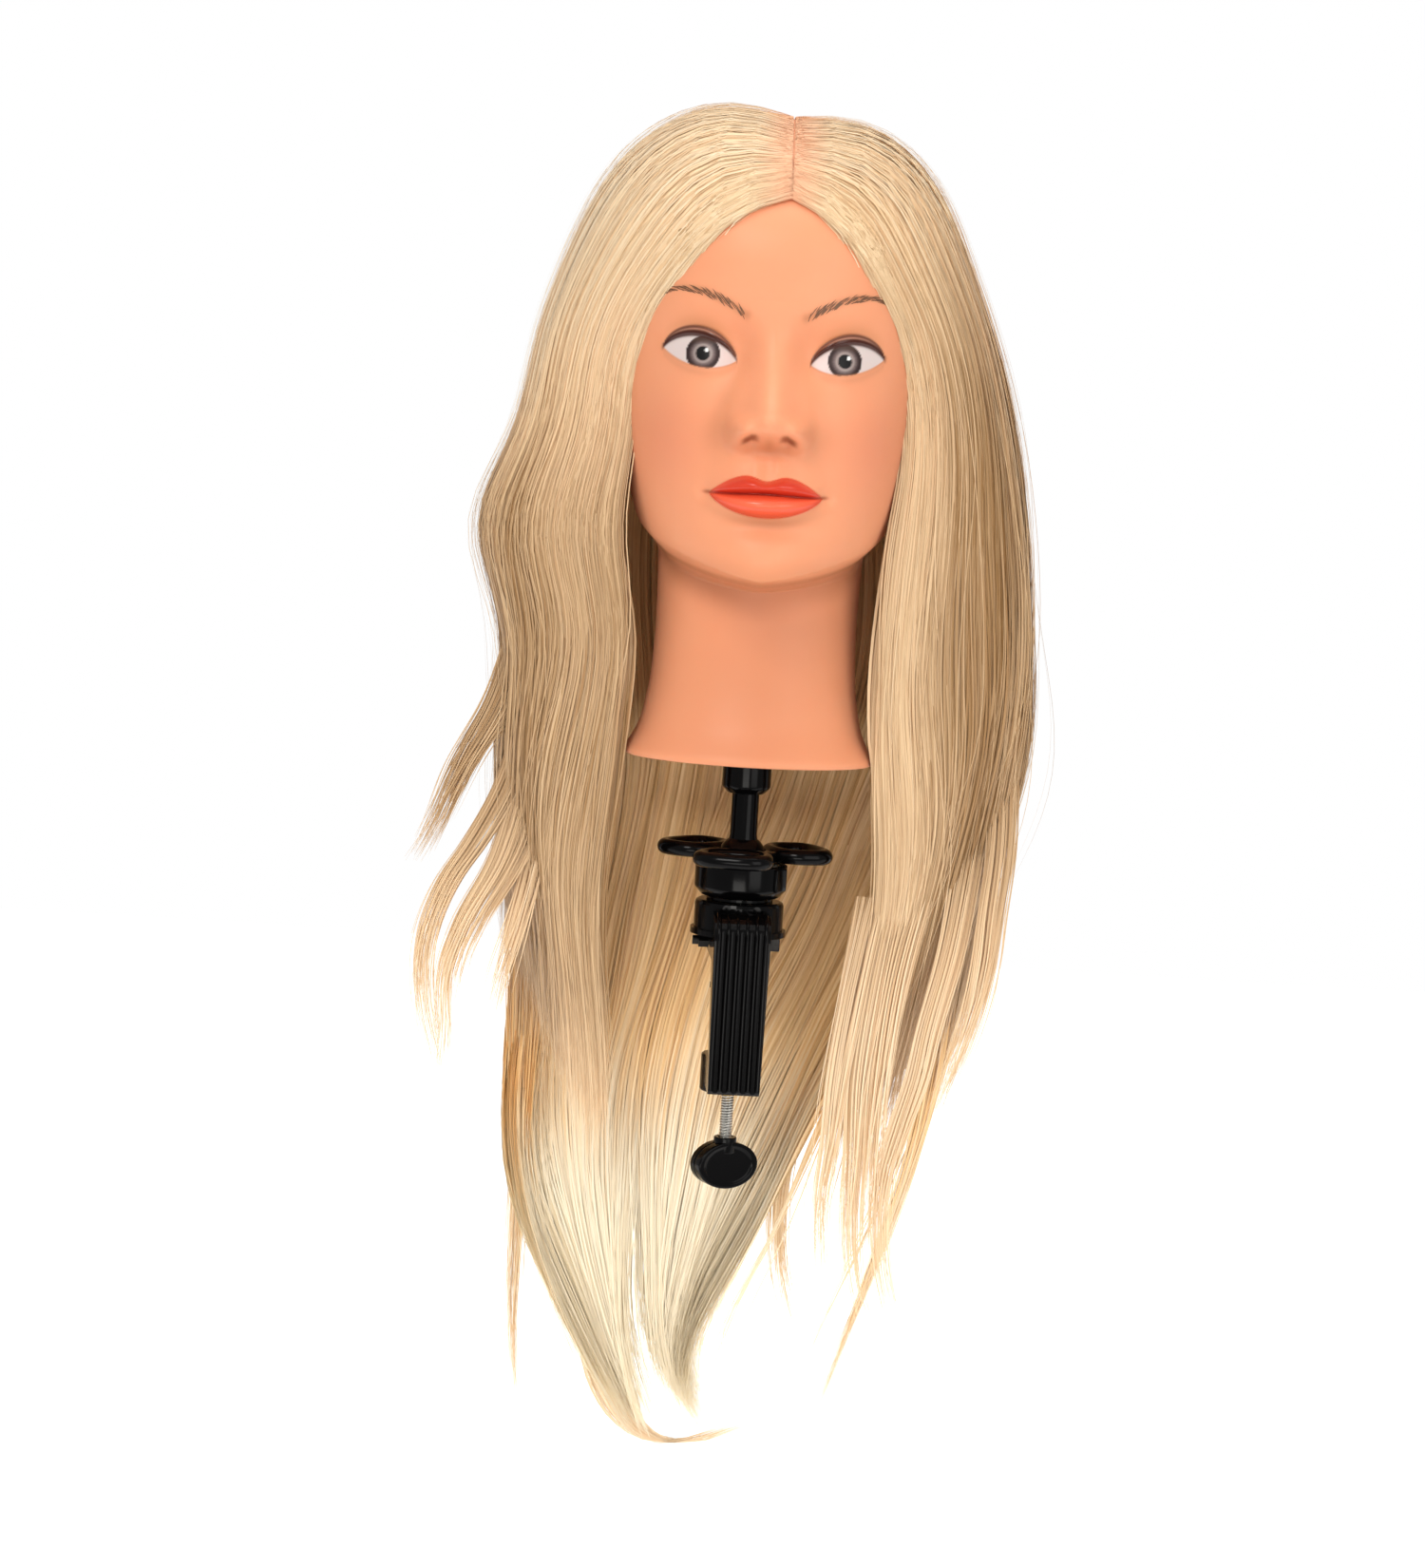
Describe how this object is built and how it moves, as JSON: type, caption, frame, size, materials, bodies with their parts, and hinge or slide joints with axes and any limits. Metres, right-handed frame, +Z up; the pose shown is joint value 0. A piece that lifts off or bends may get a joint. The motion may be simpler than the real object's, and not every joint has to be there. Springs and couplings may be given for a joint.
{
  "type": "mannequin training head",
  "caption": "Hairdressing practice head: vinyl female head with long centre-parted blonde hair on a tilting, swivelling table clamp with star handwheel.",
  "frame": {"origin": "on the post's axis, in the flat underside of the clamp's upper jaw, which sits on the table top", "axes": "+Z up along the post and the hair, -Y where the face looks, +X to the viewer's right"},
  "size_m": [0.27, 0.2182, 0.651],
  "materials": {
    "vinyl_skin": "soft satin peach vinyl, hand-painted brows, eyes and lips",
    "foam": "rigid cream polyurethane foam",
    "black_plastic": "glossy moulded black",
    "black_rubber": "matt",
    "zinc_steel": "zinc plated",
    "black_steel": "black oxide",
    "brass": "turned",
    "nylon": "moulded natural nylon",
    "blonde_hair": "silky pale blonde hair with warm shadows"
  },
  "bodies": {
    "clamp": {"clamp_frame": "black_plastic", "cross_bolt": "black_steel", "cross_nut": "black_steel", "jaw_nut": "brass", "swivel_washer": "black_plastic", "swivel_bolt": "zinc_steel"},
    "pad": {"pressure_pad": "black_plastic", "pad_facing": "black_rubber"},
    "screw": {"clamp_screw": "zinc_steel", "thumb_knob": "black_plastic"},
    "collar": {"socket_collar": "black_plastic", "ball_seat": "nylon"},
    "handwheel": {"star_handwheel": "black_plastic"},
    "head": {"ball_post": "black_plastic", "plug_sleeve": "black_plastic", "sleeve_pin": "zinc_steel", "neck_socket": "nylon", "neck_base_plate": "vinyl_skin", "foam_core": "foam", "head_shell": "vinyl_skin", "hair_cap": "blonde_hair", "hair_side_left": "blonde_hair", "hair_side_right": "blonde_hair", "hair_back": "blonde_hair"},
    "hair_falls": {"hair_fall_left": "blonde_hair", "hair_fall_right": "blonde_hair", "hair_fall_back_left": "blonde_hair", "hair_fall_back_right": "blonde_hair"}
  },
  "joints": [
    {"name": "collar_swivel", "type": "hinge", "parent": "clamp", "child": "collar", "pos_m": [0, 0, 0.0272], "axis": [0, 0, 1], "continuous": true},
    {"name": "head_tilt", "type": "hinge", "parent": "collar", "child": "head", "pos_m": [0, 0, 0.045], "axis": [1, 0, 0], "range_deg": [-30, 30]},
    {"name": "hair_hang", "type": "hinge", "parent": "head", "child": "hair_falls", "pos_m": [0, 0, 0.045], "axis": [1, 0, 0], "range_deg": [-30, 30]},
    {"name": "handwheel_turn", "type": "hinge", "parent": "collar", "child": "handwheel", "pos_m": [0, 0, 0.0475], "axis": [0, 0, 1], "range_deg": [0, 540]},
    {"name": "pad_slide", "type": "slide", "parent": "clamp", "child": "pad", "axis": [0, 0, 1], "range_m": [-0.0254, 0.0114]},
    {"name": "screw_turn", "type": "hinge", "parent": "pad", "child": "screw", "pos_m": [0, 0, -0.06], "axis": [0, 0, 1], "range_deg": [-7210, 3240]}
  ],
  "couplings": [
    {"joint": "hair_hang", "follows": "head_tilt", "ratio": -1},
    {"joint": "screw_turn", "follows": "pad_slide", "rad_per_m": 4947.4}
  ]
}
